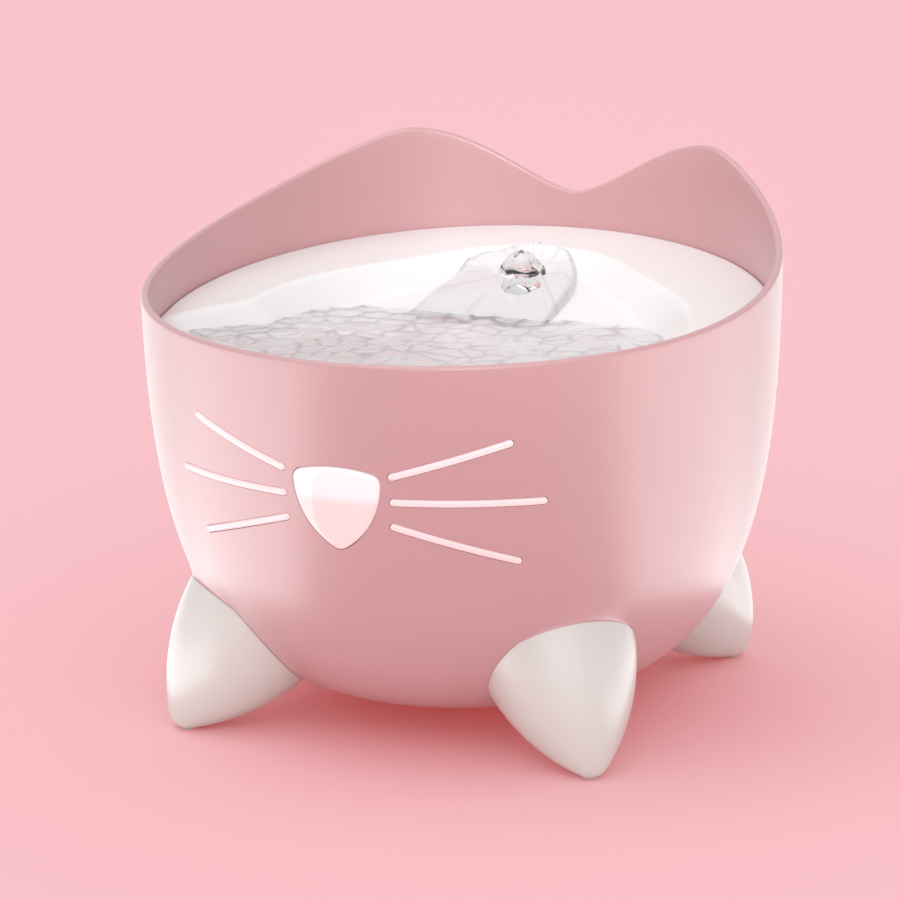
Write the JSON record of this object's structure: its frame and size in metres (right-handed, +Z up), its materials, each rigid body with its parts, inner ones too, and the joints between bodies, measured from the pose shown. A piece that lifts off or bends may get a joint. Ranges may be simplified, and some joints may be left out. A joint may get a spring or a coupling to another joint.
{
  "type": "pet water fountain",
  "caption": "Cat-eared drinking bowl on cone feet with a lift-off tray, a filtered pump, a water riser and a lit nose and whiskers.",
  "frame": {"origin": "on the bowl's axis, on the surface that the four feet stand on", "axes": "+Z up, the face with the nose looks along -Y, the ears stand at +Y"},
  "size_m": [0.2396, 0.2395, 0.1981],
  "materials": {
    "shell": "satin pink",
    "white_plastic": "satin white",
    "lens": "translucent pink, gloss",
    "clear_box": "smoked clear",
    "silicone": "matt",
    "dark_rubber": "matt",
    "dark_plastic": "matt",
    "foam": "open foam",
    "steel": "plain",
    "magnet": "sintered",
    "copper": "enamelled wire",
    "board": "solder mask",
    "led": "clear resin"
  },
  "bodies": {
    "base": {"bowl_shell": "shell", "foot_front_left": "white_plastic", "foot_front_right": "white_plastic", "foot_rear_left": "white_plastic", "foot_rear_right": "white_plastic", "foot_pads": "silicone", "nose_lens": "lens", "whisker_lens_left": "lens", "whisker_lens_right": "lens", "face_light_cover": "white_plastic", "face_light_gasket": "silicone", "face_light_board": "board", "face_leds": "led", "face_cover_screws": "steel", "light_lead": "dark_rubber", "lead_clips": "white_plastic", "riser_tube": "white_plastic", "pump_housing": "white_plastic", "housing_lid": "white_plastic", "motor_case": "dark_plastic", "motor_cap": "dark_plastic", "stator_core": "steel", "stator_coil": "copper", "suction_cups": "dark_rubber", "pump_cover": "dark_plastic", "pump_seal": "dark_rubber", "pump_cover_screws": "steel", "dial_retainer": "steel", "rotor_shaft": "steel", "shaft_bushes": "dark_rubber", "inlet_jack": "dark_plastic", "inlet_pin": "steel", "inlet_gasket": "dark_rubber", "inlet_nut": "steel", "pump_lead": "dark_rubber"},
    "tray": {"drinking_tray": "white_plastic", "outlet_seal": "silicone"},
    "rotor": {"impeller": "white_plastic", "rotor_magnet": "magnet"},
    "dial": {"flow_dial": "white_plastic"},
    "cover": {"filter_cover": "white_plastic"},
    "filter": {"filter_frame": "white_plastic", "filter_media": "foam"}
  },
  "joints": [
    {"name": "tray_lift", "type": "slide", "parent": "base", "child": "tray", "axis": [0, 0, 1], "range_m": [0, 0.08]},
    {"name": "impeller_spin", "type": "hinge", "parent": "base", "child": "rotor", "pos_m": [0, 0.053, 0.039], "axis": [0, 1, 0], "continuous": true},
    {"name": "dial_turn", "type": "hinge", "parent": "base", "child": "dial", "pos_m": [0, 0.068, 0.039], "axis": [0, 1, 0], "range_deg": [0, 60]},
    {"name": "filter_cover_slide", "type": "slide", "parent": "base", "child": "cover", "axis": [0, -1, 0], "range_m": [0, 0.031]},
    {"name": "filter_lift", "type": "slide", "parent": "cover", "child": "filter", "axis": [0, 0, 1], "range_m": [0, 0.046]}
  ]
}
